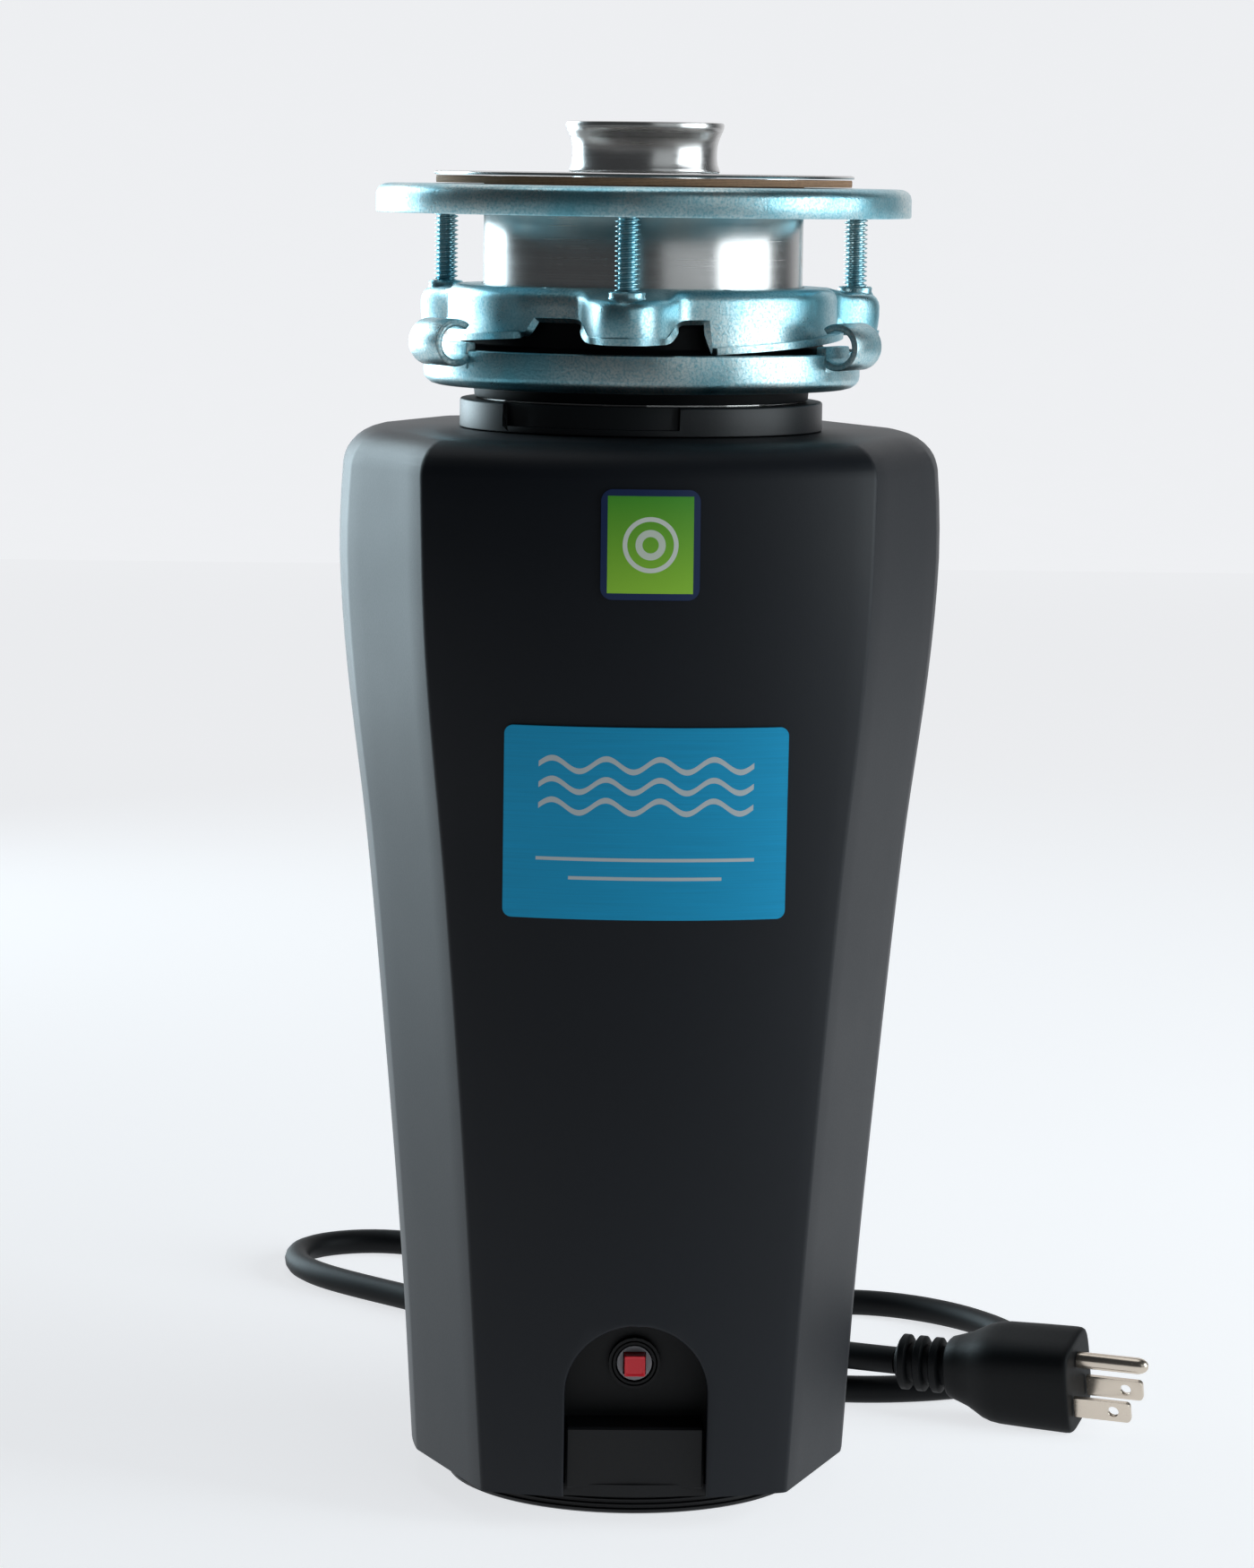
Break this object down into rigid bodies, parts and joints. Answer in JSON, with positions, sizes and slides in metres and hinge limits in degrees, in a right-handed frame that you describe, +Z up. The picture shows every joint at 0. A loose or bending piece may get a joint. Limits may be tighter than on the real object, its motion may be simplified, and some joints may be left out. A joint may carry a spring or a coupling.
{
  "type": "kitchen garbage disposal",
  "caption": "Under-sink food waste disposal with a three-screw sink mount, stopper, grinding plate, motor, discharge elbow, and a corded plug.",
  "frame": {"origin": "centre of the base foot's underside, on the motor axis", "axes": "+Z up along the motor axis to the sink flange, -Y the labelled front, +Y the discharge side"},
  "size_m": [0.256, 0.3592, 0.374],
  "materials": {
    "casing_black": "fine moulded texture, satin",
    "collar_grey": "satin dark grey",
    "black_plastic": "moulded satin",
    "black_rubber": "moulded rubber and soft PVC",
    "zinc_plate": "bright blue-white zinc plating over pressed steel",
    "stainless": "drawn stainless, satin",
    "fibre": "brown pressed fibre",
    "cast_metal": "as cast",
    "steel": "machined",
    "copper": "copper",
    "carbon": "pressed carbon",
    "magnet": "sintered ferrite",
    "grey_plastic": "moulded",
    "red_plastic": "glossy",
    "teal_label": "satin metallic label film",
    "green_badge": "glossy sticker",
    "nickel": "nickel plating over brass"
  },
  "bodies": {
    "housing": {"outer_shell": "casing_black", "front_label": "teal_label", "badge_sticker": "green_badge", "base_foot": "black_plastic", "base_cover": "black_plastic", "overload_protector": "grey_plastic", "sink_flange": "stainless", "flange_sleeve": "stainless", "fiber_gasket": "fibre", "snap_ring": "steel", "upper_mounting_ring": "zinc_plate", "mounting_gasket": "black_rubber", "splash_guard": "black_rubber", "neck_collar": "collar_grey", "grind_chamber": "stainless", "grind_ring": "cast_metal", "dishwasher_inlet": "black_plastic", "upper_end_bell": "cast_metal", "discharge_gasket": "black_rubber", "discharge_elbow": "black_plastic", "elbow_clamp": "zinc_plate", "clamp_screw_1": "steel", "clamp_screw_2": "steel", "motor_can": "steel", "lower_end_cap": "cast_metal", "lower_bearing": "steel", "upper_bearing": "steel", "shaft_seal": "black_rubber", "through_bolt_1": "steel", "through_bolt_2": "steel", "magnet_1": "magnet", "magnet_2": "magnet", "brush_card": "grey_plastic", "brush_1": "carbon", "brush_2": "carbon", "cord_gland": "black_rubber", "power_cord": "black_rubber", "plug_body": "black_rubber", "ground_pin": "nickel", "blade_1": "nickel", "blade_2": "nickel"},
    "stopper": {"stopper_cup": "stainless", "stopper_seal": "black_rubber"},
    "backup": {"backup_ring": "zinc_plate"},
    "screw_1": {"mounting_screw_1": "zinc_plate"},
    "screw_2": {"mounting_screw_2": "zinc_plate"},
    "screw_3": {"mounting_screw_3": "zinc_plate"},
    "lower_ring": {"lower_mounting_ring": "zinc_plate"},
    "rotor": {"rotor_shaft": "steel", "commutator": "copper", "armature_core": "steel", "winding_lower": "copper", "winding_upper": "copper", "turntable": "stainless", "turntable_nut": "steel", "impeller_pin_1": "steel", "impeller_pin_2": "steel"},
    "impeller_a": {"impeller_1": "stainless"},
    "impeller_b": {"impeller_2": "stainless"},
    "button": {"reset_button": "red_plastic"}
  },
  "joints": [
    {"name": "stopper_lift", "type": "slide", "parent": "housing", "child": "stopper", "axis": [0, 0, 1], "range_m": [0, 0.06]},
    {"name": "backup_slide", "type": "slide", "parent": "housing", "child": "backup", "axis": [0, 0, 1], "range_m": [-0.008, 0]},
    {"name": "lower_ring_turn", "type": "hinge", "parent": "housing", "child": "lower_ring", "pos_m": [0, 0, 0.308], "axis": [0, 0, 1], "range_deg": [-35, 0]},
    {"name": "rotor_spin", "type": "hinge", "parent": "housing", "child": "rotor", "pos_m": [0, 0, 0.11], "axis": [0, 0, 1], "continuous": true},
    {"name": "impeller_a_swing", "type": "hinge", "parent": "rotor", "child": "impeller_a", "pos_m": [0.033, 0, 0.212], "axis": [0, 0, 1], "continuous": true},
    {"name": "impeller_b_swing", "type": "hinge", "parent": "rotor", "child": "impeller_b", "pos_m": [-0.033, 0, 0.212], "axis": [0, 0, 1], "continuous": true},
    {"name": "reset_press", "type": "slide", "parent": "housing", "child": "button", "axis": [0, 1, 0], "range_m": [0, 0.003], "stiffness_N_per_m": 300},
    {"name": "screw_1_turn", "type": "hinge", "parent": "backup", "child": "screw_1", "pos_m": [-0.00633, -0.0657, 0.33], "axis": [0, 0, 1], "range_deg": [-2268, 0]},
    {"name": "screw_2_turn", "type": "hinge", "parent": "backup", "child": "screw_2", "pos_m": [0.06006, 0.02737, 0.33], "axis": [0, 0, 1], "range_deg": [-2268, 0]},
    {"name": "screw_3_turn", "type": "hinge", "parent": "backup", "child": "screw_3", "pos_m": [-0.05373, 0.03833, 0.33], "axis": [0, 0, 1], "range_deg": [-2268, 0]}
  ],
  "couplings": [
    {"joint": "screw_1_turn", "follows": "backup_slide", "rad_per_m": 4947.4},
    {"joint": "screw_2_turn", "follows": "backup_slide", "rad_per_m": 4947.4},
    {"joint": "screw_3_turn", "follows": "backup_slide", "rad_per_m": 4947.4}
  ]
}
